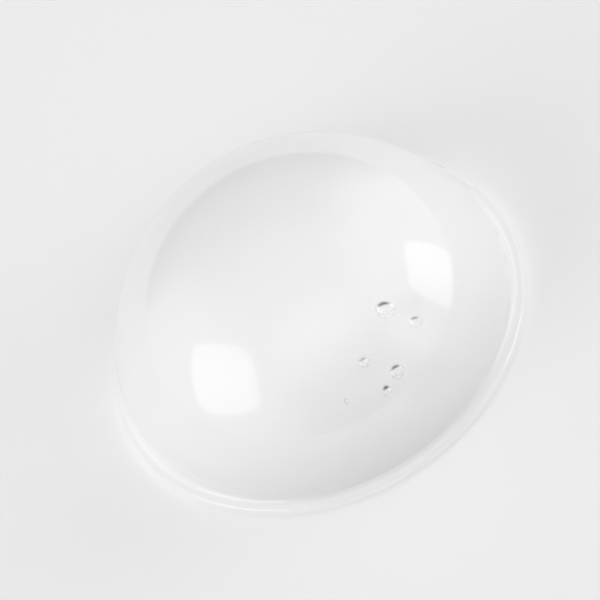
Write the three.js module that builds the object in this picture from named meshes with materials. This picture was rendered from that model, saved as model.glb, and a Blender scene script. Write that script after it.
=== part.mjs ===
// Clear self-adhesive cabinet door bumper: a cast polyurethane dome with a film of pressure-sensitive
// adhesive on its flat back. It is stuck to the inside of a door or drawer front, crown outwards, so
// that the front closes on the soft crown instead of on the carcass.
// Millimetres, +Z up. The origin is the middle of the adhesive face, and the dome's axis is Z.

import * as THREE from "three";

// Driving dimensions.
const footDiameter = 11.1; // across the cut edge of the foot, land and film alike
const overallHeight = 5.1; // adhesive face to crown
const filmThickness = 0.13; // a usual thickness for transfer adhesive
const landThickness = 0.2; // web of resin that the dome stands on
const landWidth = 0.3; // how far the cutting rule stays away from the dome
const rootFillet = 0.18; // between the land and the foot of the dome
const cutEdgeRadius = 0.12; // upper corner of the land, drawn round by the cutting rule

// Fineness of the faceted surface.
const turnSteps = 96;
const crownSteps = 22;
const filletSteps = 5;
const cornerSteps = 3;

// Sizes that follow from them.
const footRadius = footDiameter / 2;
const landTop = filmThickness + landThickness;
const domeFootRadius = footRadius - landWidth;
const crown = sphereThrough(domeFootRadius, overallHeight - landTop, overallHeight);

// The ball whose cap has this foot radius and this rise, with the top of the cap at topHeight.
function sphereThrough(capRadius, rise, topHeight) {
  const radius = (capRadius ** 2 + rise ** 2) / (2 * rise);
  return { radius, centreHeight: topHeight - radius };
}

// Points of an arc from one angle to another, both ends included. Angles are in radians, from the
// direction away from the dome's axis.
function arcPoints(centreX, centreY, radius, fromAngle, toAngle, steps) {
  return Array.from({ length: steps + 1 }, (_, step) => {
    const angle = fromAngle + ((toAngle - fromAngle) * step) / steps;
    return new THREE.Vector2(
      centreX + radius * Math.cos(angle),
      centreY + radius * Math.sin(angle),
    );
  });
}

// A ball of the fillet's radius that rests on the land and leans against the crown: its middle, and
// the angle, seen from the crown's centre, at which the two touch.
function filletAgainstCrown(radius) {
  const height = landTop + radius;
  const rise = height - crown.centreHeight;
  const reach = crown.radius + radius;
  const distance = Math.sqrt(reach ** 2 - rise ** 2);
  return { distance, height, touchAngle: Math.atan2(rise, distance) };
}

// Turns a half section, given as distance from the axis and height, into a closed body about Z.
function turned(section) {
  return new THREE.LatheGeometry(section, turnSteps).rotateX(Math.PI / 2);
}

// Half section of the dome and its land, from the middle of the flat back, round the cut edge, up to
// the crown.
function domeSection() {
  const fillet = filletAgainstCrown(rootFillet);
  // The cut edge is drawn round over nine tenths of the flat of the land at most.
  const edgeRadius = Math.min(cutEdgeRadius, 0.9 * (footRadius - fillet.distance));
  const corner = footRadius - edgeRadius;
  return [
    new THREE.Vector2(0, filmThickness),
    new THREE.Vector2(footRadius, filmThickness),
    ...arcPoints(corner, landTop - edgeRadius, edgeRadius, 0, Math.PI / 2, cornerSteps),
    ...arcPoints(
      fillet.distance,
      fillet.height,
      rootFillet,
      (3 * Math.PI) / 2,
      Math.PI + fillet.touchAngle,
      filletSteps,
    ),
    ...arcPoints(
      0,
      crown.centreHeight,
      crown.radius,
      fillet.touchAngle,
      Math.PI / 2,
      crownSteps,
    ).slice(1),
  ];
}

// The film is cut through in the same stroke as the land, so both have the foot's outline.
function filmSection() {
  return [
    new THREE.Vector2(0, 0),
    new THREE.Vector2(footRadius, 0),
    new THREE.Vector2(footRadius, filmThickness),
    new THREE.Vector2(0, filmThickness),
  ];
}

const clearPolyurethane = new THREE.MeshPhysicalMaterial({
  color: 0xf2f3f1,
  roughness: 0.05,
  metalness: 0,
  transmission: 1,
  ior: 1.5,
});
const clearAdhesive = new THREE.MeshPhysicalMaterial({
  color: 0xf4f3ee,
  roughness: 0.3,
  metalness: 0,
  transmission: 0.9,
  ior: 1.48,
});

function named(name, geometry, material) {
  const mesh = new THREE.Mesh(geometry, material);
  mesh.name = name;
  return mesh;
}

const bumper = new THREE.Group();
bumper.add(named("dome", turned(domeSection()), clearPolyurethane));
bumper.add(named("adhesive_film", turned(filmSection()), clearAdhesive));

export default bumper;
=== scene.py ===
import math

import bmesh
import bpy
from mathutils import Matrix, Vector


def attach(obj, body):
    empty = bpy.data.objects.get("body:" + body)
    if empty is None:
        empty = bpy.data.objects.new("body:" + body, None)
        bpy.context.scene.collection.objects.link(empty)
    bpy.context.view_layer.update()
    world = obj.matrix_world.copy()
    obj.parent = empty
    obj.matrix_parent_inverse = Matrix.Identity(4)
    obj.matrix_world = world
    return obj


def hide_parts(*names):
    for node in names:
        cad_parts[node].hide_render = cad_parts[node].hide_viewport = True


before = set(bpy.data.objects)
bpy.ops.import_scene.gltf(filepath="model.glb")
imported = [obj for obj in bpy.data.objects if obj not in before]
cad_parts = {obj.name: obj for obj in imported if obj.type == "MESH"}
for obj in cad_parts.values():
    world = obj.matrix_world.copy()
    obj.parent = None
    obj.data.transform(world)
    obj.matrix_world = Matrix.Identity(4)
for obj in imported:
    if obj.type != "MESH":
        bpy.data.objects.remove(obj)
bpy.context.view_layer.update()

# The dome. One piece of clear polyurethane, poured as a bead that rounds itself off and cures, with
# a thin land left round its foot where a steel rule cut it free. It is the buffer that the door
# closes on.
MM = 0.001
OUTER_RADIUS = 5.55 * MM
LAND_WIDTH = 0.3 * MM
LAND_THICKNESS = 0.2 * MM
FILM_TOP = 0.13 * MM
CROWN_TOP = 5.1 * MM
ROOT_FILLET = 0.18 * MM
CUT_EDGE_RADIUS = 0.12 * MM

# Fineness of the turned bodies.
TURN_STEPS = 320
LEVEL_STEPS = 12
DOME_RIM_STEPS = 2
CUT_EDGE_STEPS = 4
FILLET_STEPS = 6
CROWN_STEPS = 96
MERGE_DISTANCE = 0.0001 * MM
SHARP_EDGE_DEG = 35

# The free skin cured slightly wavy. The waves fade out downwards, and the land has none.
WAVE_HEIGHT = 0.012 * MM
WAVE_LENGTH = 2.4 * MM
WAVE_SEED = 3.0
NO_WAVE_BELOW = 0.3 * MM
FULL_WAVE_ABOVE = 1.0 * MM

# The rule dragged on the outermost strip of the rim and left upright marks in it.
RIM_WIDTH = 0.06 * MM
DOME_RIM_DRAG = 0.03 * MM
DRAG_MARK_SIZE = (0.5 * MM, 0.5 * MM, 2.0 * MM)

RESIN_COLOUR = "#FEFEFE"
RESIN_IOR = 1.49
RESIN_ROUGHNESS = (0.08, 0.13)
CLOUD_SIZE = 2.5 * MM
SCUFF_DEPTH = 0.02 * MM
SCUFF_STRENGTH = 0.02
# Handling scuffs are 0.02 to 0.05 mm wide. They are drawn wider, so that they show from here.
SCUFF_SIZE = 0.15 * MM
# The middle part of a noise's values, which a roughness is spread over.
NOISE_RANGE = (0.3, 0.7)

# Shares of the light from above that pass straight on through the dome and through its land.
CLEAR_SHARE = 0.58
LAND_CLEAR_SHARE = 0.85

# How level a face is, and how near to the plane, where dome and film meet.
BOND_LEVELNESS = 0.9
BOND_REACH = 0.01 * MM

# Trapped air: centre and half sizes in millimetres, and turn about Z in degrees.
AIR_BUBBLES = (
    ((1.28, -0.62, 0.42), (0.20, 0.15, 0.14), -37),
    ((1.72, -1.25, 0.38), (0.13, 0.10, 0.10), -37),
    ((0.98, -2.22, 0.42), (0.15, 0.14, 0.14), 0),
    ((0.62, -2.55, 0.40), (0.09, 0.14, 0.10), -7),
    ((0.47, -1.48, 0.38), (0.10, 0.09, 0.09), 0),
    ((-0.20, -2.15, 0.36), (0.05, 0.05, 0.05), 0),
)
BUBBLE_FINENESS = 4


def arc(centre, radius, start, end, steps):
    """Points of an arc, as distance from the axis and height. Angles are in degrees."""
    turns = [math.radians(start + (end - start) * n / steps) for n in range(steps + 1)]
    return [(centre[0] + radius * math.cos(t), centre[1] + radius * math.sin(t)) for t in turns]


def line(start, end, steps):
    """Evenly spaced points of a straight stretch, without its last point."""
    return [tuple(a + (b - a) * n / steps for a, b in zip(start, end)) for n in range(steps)]


def dome_section():
    """Half section of the dome: flat back, cut edge of the land, root fillet, ball-shaped crown."""
    land_top = FILM_TOP + LAND_THICKNESS
    foot = OUTER_RADIUS - LAND_WIDTH
    rise = CROWN_TOP - land_top
    ball = (foot**2 + rise**2) / (2 * rise)
    middle = CROWN_TOP - ball
    reach = ball + ROOT_FILLET
    lift = land_top + ROOT_FILLET - middle
    root = (math.sqrt(reach**2 - lift**2), land_top + ROOT_FILLET)
    touch = math.degrees(math.atan2(lift, root[0]))
    corner = (OUTER_RADIUS - CUT_EDGE_RADIUS, land_top - CUT_EDGE_RADIUS)
    return [
        *line((0, FILM_TOP), (OUTER_RADIUS, FILM_TOP), LEVEL_STEPS),
        *line((OUTER_RADIUS, FILM_TOP), (OUTER_RADIUS, corner[1]), DOME_RIM_STEPS),
        *arc(corner, CUT_EDGE_RADIUS, 0, 90, CUT_EDGE_STEPS),
        *arc(root, ROOT_FILLET, 270, 180 + touch, FILLET_STEPS),
        *arc((0, middle), ball, touch, 90, CROWN_STEPS)[1:],
    ]


def section_mesh(name, points):
    """A half section as a row of points in the XZ plane."""
    mesh = bpy.data.meshes.new(name)
    edges = [(n, n + 1) for n in range(len(points) - 1)]
    mesh.from_pydata([(x, 0, z) for x, z in points], edges, [])
    return mesh


def add_node(tree, kind, inputs=None, **settings):
    """Adds a node, sets it up, and links or fills its inputs."""
    made = tree.nodes.new(kind)
    for name, value in settings.items():
        setattr(made, name, value)
    for key, value in (inputs or {}).items():
        if isinstance(value, bpy.types.NodeSocket):
            tree.links.new(value, made.inputs[key])
        else:
            made.inputs[key].default_value = value
    return made


def turning_tree(name):
    """Geometry Nodes that turn a half section about Z into a closed body, as a bead or a die is."""
    tree = bpy.data.node_groups.new(name, "GeometryNodeTree")
    face = tree.interface
    face.new_socket("Half section", in_out="INPUT", socket_type="NodeSocketGeometry")
    face.new_socket("Turn steps", in_out="INPUT", socket_type="NodeSocketInt")
    for size in ("Waviness", "Wave length", "Wave seed", "Rim drag", "Rim radius"):
        face.new_socket(size, in_out="INPUT", socket_type="NodeSocketFloat")
    face.new_socket("Finish", in_out="INPUT", socket_type="NodeSocketMaterial")
    face.new_socket("Body", in_out="OUTPUT", socket_type="NodeSocketGeometry")
    given = add_node(tree, "NodeGroupInput").outputs

    # A grid with one column for each point of the section is bent round the axis and closed.
    section = given["Half section"]
    stations = add_node(
        tree, "GeometryNodeAttributeDomainSize", {0: section}
    ).outputs["Point Count"]
    turns = add_node(
        tree, "ShaderNodeMath", {0: given["Turn steps"], 1: 1.0}, operation="ADD"
    ).outputs[0]
    grid = add_node(
        tree, "GeometryNodeMeshGrid",
        {"Size X": 1.0, "Size Y": 1.0, "Vertices X": stations, "Vertices Y": turns},
    ).outputs["Mesh"]
    place = add_node(tree, "GeometryNodeInputPosition").outputs[0]
    corner = add_node(
        tree, "ShaderNodeVectorMath", {0: place, 1: (0.5, 0.5, 0.0)}, operation="ADD"
    ).outputs[0]
    along = add_node(tree, "ShaderNodeSeparateXYZ", {0: corner}).outputs
    last = add_node(
        tree, "ShaderNodeMath", {0: stations, 1: 1.0}, operation="SUBTRACT"
    ).outputs[0]
    station = add_node(
        tree, "ShaderNodeMath", {0: along["X"], 1: last}, operation="MULTIPLY"
    ).outputs[0]
    whole = add_node(tree, "ShaderNodeMath", {0: station}, operation="ROUND").outputs[0]
    picked = add_node(
        tree, "GeometryNodeSampleIndex",
        {"Geometry": section, "Value": place, "Index": whole},
        data_type="FLOAT_VECTOR", domain="POINT",
    ).outputs["Value"]
    angle = add_node(
        tree, "ShaderNodeMath", {0: along["Y"], 1: math.tau}, operation="MULTIPLY"
    ).outputs[0]
    turned = add_node(
        tree, "ShaderNodeVectorRotate", {"Vector": picked, "Angle": angle}, rotation_type="Z_AXIS"
    ).outputs[0]
    body = add_node(
        tree, "GeometryNodeSetPosition", {"Geometry": grid, "Position": turned}
    ).outputs[0]
    closed = add_node(
        tree, "GeometryNodeMergeByDistance", {"Geometry": body, "Distance": MERGE_DISTANCE}
    ).outputs[0]

    # The free skin is pushed in and out by slow waves.
    wave_place = add_node(
        tree, "ShaderNodeVectorMath", {0: place, 1: given["Wave length"]}, operation="DIVIDE"
    ).outputs[0]
    waves = add_node(
        tree, "ShaderNodeTexNoise",
        {"Vector": wave_place, "W": given["Wave seed"], "Scale": 1.0, "Detail": 1.0},
        noise_dimensions="4D",
    ).outputs[0]
    centred = add_node(
        tree, "ShaderNodeMath", {0: waves, 1: 0.5}, operation="SUBTRACT"
    ).outputs[0]
    height = add_node(
        tree, "ShaderNodeMath", {0: centred, 1: given["Waviness"]}, operation="MULTIPLY"
    ).outputs[0]
    level = add_node(tree, "ShaderNodeSeparateXYZ", {0: place}).outputs["Z"]
    free = add_node(
        tree, "ShaderNodeMapRange",
        {"Value": level, "From Min": NO_WAVE_BELOW, "From Max": FULL_WAVE_ABOVE},
        interpolation_type="SMOOTHSTEP",
    ).outputs[0]
    amount = add_node(tree, "ShaderNodeMath", {0: height, 1: free}, operation="MULTIPLY").outputs[0]
    outward = add_node(tree, "GeometryNodeInputNormal").outputs[0]
    push = add_node(
        tree, "ShaderNodeVectorMath", {0: outward, "Scale": amount}, operation="SCALE"
    ).outputs[0]
    wavy = add_node(
        tree, "GeometryNodeSetPosition", {"Geometry": closed, "Offset": push}
    ).outputs[0]

    # The rim is pulled in by the marks of the rule.
    mark_place = add_node(
        tree, "ShaderNodeVectorMath", {0: place, 1: DRAG_MARK_SIZE}, operation="DIVIDE"
    ).outputs[0]
    marks = add_node(
        tree, "ShaderNodeTexNoise", {"Vector": mark_place, "Scale": 1.0, "Detail": 2.0}
    ).outputs[0]
    away = add_node(tree, "ShaderNodeSeparateXYZ", {0: place}).outputs
    radial = add_node(
        tree, "ShaderNodeCombineXYZ", {"X": away["X"], "Y": away["Y"]}
    ).outputs[0]
    reach = add_node(
        tree, "ShaderNodeVectorMath", {0: radial}, operation="LENGTH"
    ).outputs["Value"]
    on_rim = add_node(
        tree, "ShaderNodeMath", {0: reach, 1: given["Rim radius"]}, operation="GREATER_THAN"
    ).outputs[0]
    drag = add_node(
        tree, "ShaderNodeMath", {0: marks, 1: given["Rim drag"]}, operation="MULTIPLY"
    ).outputs[0]
    inward = add_node(tree, "ShaderNodeMath", {0: drag, 1: -1.0}, operation="MULTIPLY").outputs[0]
    spoke = add_node(
        tree, "ShaderNodeVectorMath", {0: radial}, operation="NORMALIZE"
    ).outputs[0]
    pull = add_node(
        tree, "ShaderNodeVectorMath", {0: spoke, "Scale": inward}, operation="SCALE"
    ).outputs[0]
    cut = add_node(
        tree, "GeometryNodeSetPosition", {"Geometry": wavy, "Selection": on_rim, "Offset": pull}
    ).outputs[0]

    # It is shaded smooth, apart from its sharp edges.
    bend = add_node(tree, "GeometryNodeInputMeshEdgeAngle").outputs["Unsigned Angle"]
    sharp = add_node(
        tree, "ShaderNodeMath", {0: bend, 1: math.radians(SHARP_EDGE_DEG)},
        operation="GREATER_THAN",
    ).outputs[0]
    smooth = add_node(
        tree, "GeometryNodeSetShadeSmooth", {"Geometry": cut, "Shade Smooth": True}
    ).outputs[0]
    edged = add_node(
        tree, "GeometryNodeSetShadeSmooth",
        {"Geometry": smooth, "Selection": sharp, "Shade Smooth": False}, domain="EDGE",
    ).outputs[0]
    real = add_node(tree, "GeometryNodeRealizeInstances", {0: edged}).outputs[0]
    done = add_node(
        tree, "GeometryNodeSetMaterial", {"Geometry": real, "Material": given["Finish"]}
    ).outputs[0]
    add_node(tree, "NodeGroupOutput", {"Body": done})
    return tree


def bubble_tree(name):
    """Geometry Nodes that set an air bubble at each point, with the half sizes and turn it has."""
    tree = bpy.data.node_groups.new(name, "GeometryNodeTree")
    face = tree.interface
    face.new_socket("Placed bubbles", in_out="INPUT", socket_type="NodeSocketGeometry")
    face.new_socket("Fineness", in_out="INPUT", socket_type="NodeSocketInt")
    face.new_socket("Finish", in_out="INPUT", socket_type="NodeSocketMaterial")
    face.new_socket("Bubbles", in_out="OUTPUT", socket_type="NodeSocketGeometry")
    given = add_node(tree, "NodeGroupInput").outputs
    half_size, turn = (
        add_node(
            tree, "GeometryNodeInputNamedAttribute", {"Name": attribute}, data_type="FLOAT_VECTOR"
        ).outputs[0]
        for attribute in ("half_size", "turn")
    )
    ball = add_node(
        tree, "GeometryNodeMeshIcoSphere", {"Radius": 1.0, "Subdivisions": given["Fineness"]}
    ).outputs["Mesh"]
    round_ball = add_node(
        tree, "GeometryNodeSetShadeSmooth", {"Geometry": ball, "Shade Smooth": True}
    ).outputs[0]
    set_in = add_node(
        tree, "GeometryNodeInstanceOnPoints",
        {
            "Points": given["Placed bubbles"], "Instance": round_ball,
            "Rotation": turn, "Scale": half_size,
        },
    ).outputs[0]
    real = add_node(tree, "GeometryNodeRealizeInstances", {0: set_in}).outputs[0]
    hollow = add_node(tree, "GeometryNodeFlipFaces", {0: real}).outputs[0]
    done = add_node(
        tree, "GeometryNodeSetMaterial", {"Geometry": hollow, "Material": given["Finish"]}
    ).outputs[0]
    add_node(tree, "NodeGroupOutput", {"Bubbles": done})
    return tree


def bubble_points(name, bubbles):
    """A point for each bubble, which carries its half sizes in metres and its turn in radians."""
    centres, half_sizes, turns = zip(*bubbles)
    mesh = bpy.data.meshes.new(name)
    mesh.from_pydata([tuple(c * MM for c in centre) for centre in centres], [], [])
    for attribute, numbers in (
        ("half_size", [size * MM for half_size in half_sizes for size in half_size]),
        ("turn", [part for turn in turns for part in (0, 0, math.radians(turn))]),
    ):
        carried = mesh.attributes.new(attribute, "FLOAT_VECTOR", "POINT")
        carried.data.foreach_set("vector", numbers)
    return mesh


def run_tree(name, start, tree, values):
    """Runs a tree on a starting mesh with named input values, and returns a plain object."""
    shown = bpy.data.objects.new(name + "_start", start)
    bpy.context.collection.objects.link(shown)
    modifier = shown.modifiers.new(tree.name, "NODES")
    modifier.node_group = tree
    for item in tree.interface.items_tree:
        if item.in_out == "INPUT" and item.name in values:
            modifier[item.identifier] = values[item.name]
    evaluated = shown.evaluated_get(bpy.context.evaluated_depsgraph_get())
    mesh = bpy.data.meshes.new_from_object(evaluated)
    bpy.data.objects.remove(shown)
    while mesh.materials[0] is None:
        mesh.materials.pop(index=0)
    mesh.name = name
    made = bpy.data.objects.new(name, mesh)
    bpy.context.collection.objects.link(made)
    return made


def face_outwards(made):
    """Turns every face of a closed body to the outside."""
    shape = bmesh.new()
    shape.from_mesh(made.data)
    bmesh.ops.recalc_face_normals(shape, faces=shape.faces)
    shape.to_mesh(made.data)
    shape.free()


def take_in(body, added):
    """Makes the second mesh part of the first, with its faces left the way they point."""
    shape = bmesh.new()
    shape.from_mesh(body.data)
    shape.from_mesh(added.data)
    shape.to_mesh(body.data)
    shape.free()
    bpy.data.objects.remove(added)


def linear(colour):
    """A colour written as sRGB hex, as the linear values that a shader takes."""
    parts = [int(colour[n:n + 2], 16) / 255 for n in (1, 3, 5)]
    return (*(p / 12.92 if p <= 0.04045 else ((p + 0.055) / 1.055) ** 2.4 for p in parts), 1)


def let_light_through(made, share):
    """Lets this share of the direct light on a clear face pass on to what lies under it."""
    tree = made.node_tree
    ray = add_node(tree, "ShaderNodeLightPath").outputs["Is Shadow Ray"]
    amount = add_node(tree, "ShaderNodeMath", {0: ray, 1: share}, operation="MULTIPLY").outputs[0]
    solid = tree.nodes["Principled BSDF"].outputs[0]
    clear = add_node(tree, "ShaderNodeBsdfTransparent").outputs[0]
    mixed = add_node(tree, "ShaderNodeMixShader", {0: amount, 1: solid, 2: clear}).outputs[0]
    tree.links.new(mixed, tree.nodes["Material Output"].inputs["Surface"])


def cast_polyurethane(name, share):
    """Water-clear aliphatic polyurethane, cured in the open: a bright skin with fine scuffs."""
    made = bpy.data.materials.new(name)
    made.use_nodes = True
    tree = made.node_tree
    shader = tree.nodes["Principled BSDF"].inputs
    shader["Base Color"].default_value = linear(RESIN_COLOUR)
    shader["IOR"].default_value = RESIN_IOR
    shader["Transmission Weight"].default_value = 1.0
    where = add_node(tree, "ShaderNodeTexCoord").outputs["Object"]
    scuffs = add_node(
        tree, "ShaderNodeTexNoise", {"Vector": where, "Scale": 1 / SCUFF_SIZE, "Detail": 3.0}
    ).outputs[0]
    clouds = add_node(
        tree, "ShaderNodeTexNoise", {"Vector": where, "Scale": 1 / CLOUD_SIZE, "Detail": 2.0}
    ).outputs[0]
    rough = add_node(
        tree, "ShaderNodeMapRange",
        {
            "Value": clouds, "From Min": NOISE_RANGE[0], "From Max": NOISE_RANGE[1],
            "To Min": RESIN_ROUGHNESS[0], "To Max": RESIN_ROUGHNESS[1],
        },
    ).outputs[0]
    tree.links.new(rough, shader["Roughness"])
    bump = add_node(
        tree, "ShaderNodeBump",
        {"Height": scuffs, "Strength": SCUFF_STRENGTH, "Distance": SCUFF_DEPTH},
    ).outputs[0]
    tree.links.new(bump, shader["Normal"])
    let_light_through(made, share)
    return made


def bonded_face():
    """The face where resin and adhesive have wetted each other. Light passes straight on there."""
    made = bpy.data.materials.new("wetted_bond")
    made.use_nodes = True
    tree = made.node_tree
    tree.nodes.remove(tree.nodes["Principled BSDF"])
    clear = add_node(tree, "ShaderNodeBsdfTransparent").outputs[0]
    tree.links.new(clear, tree.nodes["Material Output"].inputs["Surface"])
    return made


def finish_faces(made, finish, chosen):
    """Gives the chosen faces of a body a finish of their own."""
    made.data.materials.append(finish)
    for face in made.data.polygons:
        if chosen(face):
            face.material_index = len(made.data.materials) - 1


def on_land(face):
    """Tells whether a face lies on the land or in the fillet at its root."""
    return math.hypot(face.center.x, face.center.y) > OUTER_RADIUS - LAND_WIDTH


def on_bond(face):
    """Tells whether a face lies in the plane where dome and film meet."""
    level = abs(face.normal.z) > BOND_LEVELNESS
    return level and abs(face.center.z - FILM_TOP) < BOND_REACH


polyurethane = cast_polyurethane("cast_clear_polyurethane", CLEAR_SHARE)
turning = turning_tree("turned_body")
dome = run_tree(
    "clear_dome", section_mesh("dome_half_section", dome_section()), turning,
    {
        "Turn steps": TURN_STEPS, "Waviness": WAVE_HEIGHT, "Wave length": WAVE_LENGTH,
        "Wave seed": WAVE_SEED, "Rim drag": DOME_RIM_DRAG, "Rim radius": OUTER_RADIUS - RIM_WIDTH,
        "Finish": polyurethane,
    },
)
face_outwards(dome)
bubbles = run_tree(
    "trapped_air", bubble_points("placed_bubbles", AIR_BUBBLES), bubble_tree("air_bubbles"),
    {"Fineness": BUBBLE_FINENESS, "Finish": polyurethane},
)
take_in(dome, bubbles)
land_polyurethane = cast_polyurethane("cast_clear_polyurethane_land", LAND_CLEAR_SHARE)
finish_faces(dome, land_polyurethane, on_land)
bond = bonded_face()
finish_faces(dome, bond, on_bond)
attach(dome, "root")
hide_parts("dome")

# The tack film. A clear acrylic transfer adhesive over the whole flat back, cut through in the same
# stroke as the land, so its rim is a little ragged where the soft layer dragged on the rule.
FILM_BOTTOM = 0.0
FILM_RIM_STEPS = 3
FILM_RIM_DRAG = 0.06 * MM
ADHESIVE_COLOUR = "#FAFAF6"
ADHESIVE_IOR = 1.48
ADHESIVE_ROUGHNESS = (0.08, 0.2)
HAZE_SIZE = 0.6 * MM
FILM_CLEAR_SHARE = 1.0


def film_section():
    """Half section of the film: the stuck face, the cut rim and the bonded face."""
    return [
        *line((0, FILM_BOTTOM), (OUTER_RADIUS, FILM_BOTTOM), LEVEL_STEPS),
        *line((OUTER_RADIUS, FILM_BOTTOM), (OUTER_RADIUS, FILM_TOP), FILM_RIM_STEPS),
        *line((OUTER_RADIUS, FILM_TOP), (0, FILM_TOP), LEVEL_STEPS),
        (0, FILM_TOP),
    ]


def acrylic_adhesive():
    """Clear solvent acrylic adhesive: soft, faintly hazy, with a matt tacky rim."""
    made = bpy.data.materials.new("clear_acrylic_adhesive")
    made.use_nodes = True
    tree = made.node_tree
    shader = tree.nodes["Principled BSDF"].inputs
    shader["Base Color"].default_value = linear(ADHESIVE_COLOUR)
    shader["IOR"].default_value = ADHESIVE_IOR
    shader["Transmission Weight"].default_value = 1.0
    where = add_node(tree, "ShaderNodeTexCoord").outputs["Object"]
    haze = add_node(
        tree, "ShaderNodeTexNoise", {"Vector": where, "Scale": 1 / HAZE_SIZE, "Detail": 4.0}
    ).outputs[0]
    rough = add_node(
        tree, "ShaderNodeMapRange",
        {
            "Value": haze, "From Min": NOISE_RANGE[0], "From Max": NOISE_RANGE[1],
            "To Min": ADHESIVE_ROUGHNESS[0], "To Max": ADHESIVE_ROUGHNESS[1],
        },
    ).outputs[0]
    tree.links.new(rough, shader["Roughness"])
    let_light_through(made, FILM_CLEAR_SHARE)
    return made


film = run_tree(
    "adhesive_film_layer", section_mesh("film_half_section", film_section()), turning,
    {
        "Turn steps": TURN_STEPS, "Waviness": 0.0, "Wave length": 1.0 * MM, "Wave seed": 0.0,
        "Rim drag": FILM_RIM_DRAG, "Rim radius": OUTER_RADIUS - RIM_WIDTH,
        "Finish": acrylic_adhesive(),
    },
)
face_outwards(film)
finish_faces(film, bond, on_bond)
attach(film, "root")
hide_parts("adhesive_film")

# The table. A plain pale board that the tack film has wetted, so its surface stands a hair inside
# the film and no air is left under the bumper.
TABLE_HEIGHT = 0.02 * MM
TABLE_SIZE = 4.0
BOARD_COLOUR = "#F4F4F4"


def pale_board():
    """Matt white board, without gloss, so that it shows nothing but soft shadow."""
    made = bpy.data.materials.new("matt_white_board")
    made.use_nodes = True
    shader = made.node_tree.nodes["Principled BSDF"].inputs
    shader["Base Color"].default_value = linear(BOARD_COLOUR)
    shader["Roughness"].default_value = 0.9
    shader["Specular IOR Level"].default_value = 0.0
    return made


half = TABLE_SIZE / 2
table_mesh = bpy.data.meshes.new("table")
table_mesh.from_pydata(
    [(x, y, TABLE_HEIGHT) for x, y in ((-half, -half), (half, -half), (half, half), (-half, half))],
    [], [(0, 1, 2, 3)],
)
table_mesh.materials.append(pale_board())
table = bpy.data.objects.new("table", table_mesh)
bpy.context.collection.objects.link(table)

# The light. A white room: pale walls to left and right, a dimmer one in front that brightens
# upwards, none behind, and a rounded softbox that shines from each side wall.
DARKEST_LIGHT = 0.08
LEFT_WALL_LIGHT = 1.0
RIGHT_WALL_LIGHT = 1.4
FRONT_LIGHT = 1.9
CEILING_LIGHT = 0.5
# Where a side wall ends behind the bumper: no light, and full light.
NOT_BEHIND = (0.95, 0.6)
# How square a softbox is, and how far from its middle its light has gone and is full.
SOFTBOX_SQUARENESS = 4.0
SOFTBOX_EDGE = (1.3, 0.75)
# Direction of each softbox, line along its width, half width and half height as angles in degrees,
# and strength.
SOFTBOXES = (
    ((-0.872, -0.215, 0.439), (0.392, -0.813, 0.428), 19.5, 17, 2.1),
    ((0.971, -0.135, 0.195), (0.0, 1.0, 0.0), 14, 15, 2.2),
)

world = bpy.data.worlds.new("studio_room")
bpy.context.scene.world = world
world.use_nodes = True
room = world.node_tree
looking = add_node(room, "ShaderNodeTexCoord").outputs["Generated"]
look = add_node(room, "ShaderNodeSeparateXYZ", {0: looking}).outputs
sideways = add_node(room, "ShaderNodeMath", {0: look["X"]}, operation="ABSOLUTE").outputs[0]


def softbox_distance(facing, across, half_width, half_height):
    """How far a direction lies from the middle of a rounded softbox: 0 there, and 1 at its edge."""
    axis = Vector(facing).normalized()
    side = (Vector(across) - axis * axis.dot(Vector(across))).normalized()
    ahead = add_node(
        room, "ShaderNodeVectorMath", {0: looking, 1: axis}, operation="DOT_PRODUCT"
    ).outputs["Value"]
    # The depth is held just above 0 in the half of the room away from the box, which puts it out.
    depth = add_node(
        room, "ShaderNodeMath", {0: ahead, 1: 0.001}, operation="MAXIMUM"
    ).outputs[0]
    powers = []
    for line_out, half_angle in ((side, half_width), (axis.cross(side), half_height)):
        reach = line_out / math.tan(math.radians(half_angle))
        off = add_node(
            room, "ShaderNodeVectorMath", {0: looking, 1: reach}, operation="DOT_PRODUCT"
        ).outputs["Value"]
        flat = add_node(room, "ShaderNodeMath", {0: off, 1: depth}, operation="DIVIDE").outputs[0]
        size = add_node(room, "ShaderNodeMath", {0: flat}, operation="ABSOLUTE").outputs[0]
        powers.append(add_node(
            room, "ShaderNodeMath", {0: size, 1: SOFTBOX_SQUARENESS}, operation="POWER"
        ).outputs[0])
    return add_node(
        room, "ShaderNodeMath", {0: powers[0], 1: powers[1]}, operation="ADD"
    ).outputs[0]


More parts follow.
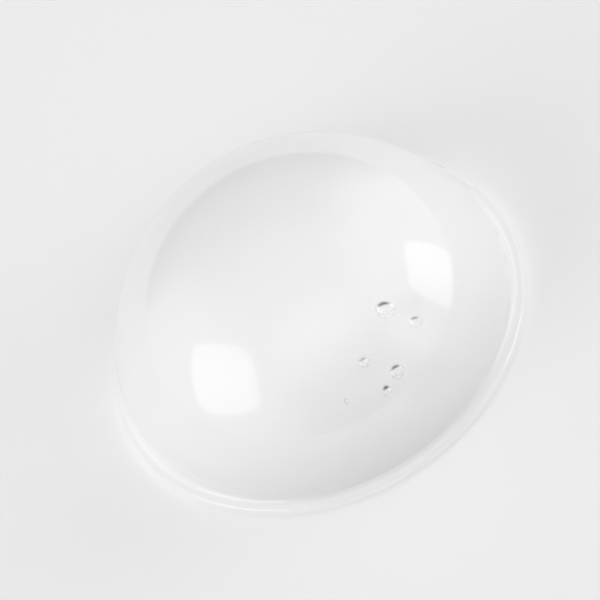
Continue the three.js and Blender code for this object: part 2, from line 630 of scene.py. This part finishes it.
# Each light's strength, and the smooth steps that bound it: a value, where the light has gone, and
# where it is full.
lights = [
    (LEFT_WALL_LIGHT, [(look["X"], -0.3, -0.8), (look["Y"], *NOT_BEHIND)]),
    (RIGHT_WALL_LIGHT, [(look["X"], 0.3, 0.8), (look["Y"], *NOT_BEHIND)]),
    (FRONT_LIGHT, [(sideways, 0.8, 0.3), (look["Y"], -0.1, -0.8), (look["Z"], 0.35, 0.9)]),
    (CEILING_LIGHT, [(look["Z"], 0.7, 1.0)]),
]
for *box, strength in SOFTBOXES:
    lights.append((strength, [(softbox_distance(*box), *SOFTBOX_EDGE)]))
total = DARKEST_LIGHT
for strength, bounds in lights:
    light = strength
    for value, gone, full in bounds:
        step = add_node(
            room, "ShaderNodeMapRange", {"Value": value, "From Min": gone, "From Max": full},
            interpolation_type="SMOOTHSTEP",
        ).outputs[0]
        light = add_node(
            room, "ShaderNodeMath", {0: light, 1: step}, operation="MULTIPLY"
        ).outputs[0]
    total = add_node(room, "ShaderNodeMath", {0: total, 1: light}, operation="ADD").outputs[0]
room.links.new(total, room.nodes["Background"].inputs["Strength"])
room.nodes["Background"].inputs["Color"].default_value = (1, 1, 1, 1)

# The camera. It looks down at 49.5 degrees and leans 30 degrees to the side, from far off through a
# long lens, so that the bumper shows with little perspective.
CAMERA_HEIGHT_DEG = 49.5
CAMERA_LEAN_DEG = 30
CAMERA_DISTANCE = 0.294
CAMERA_AIM_HEIGHT = 1.6 * MM
camera_data = bpy.data.cameras.new("camera")
camera_data.lens = 700
camera_data.sensor_width = 36
camera_data.clip_start = 0.01
camera_data.clip_end = 10
camera = bpy.data.objects.new("camera", camera_data)
bpy.context.collection.objects.link(camera)
bpy.context.scene.camera = camera
up = math.radians(CAMERA_HEIGHT_DEG)
aim = Vector((0, 0, CAMERA_AIM_HEIGHT))
back = Vector((0, -math.cos(up), math.sin(up)))
turn = (-back).to_track_quat("-Z", "Y").to_matrix().to_4x4()
lean = Matrix.Rotation(-math.radians(CAMERA_LEAN_DEG), 4, "Z")
camera.matrix_world = Matrix.Translation(aim + back * CAMERA_DISTANCE) @ turn @ lean

scene = bpy.context.scene
scene.view_settings.view_transform = "Standard"
scene.cycles.max_bounces = 24
scene.cycles.transmission_bounces = 20
scene.cycles.transparent_max_bounces = 16
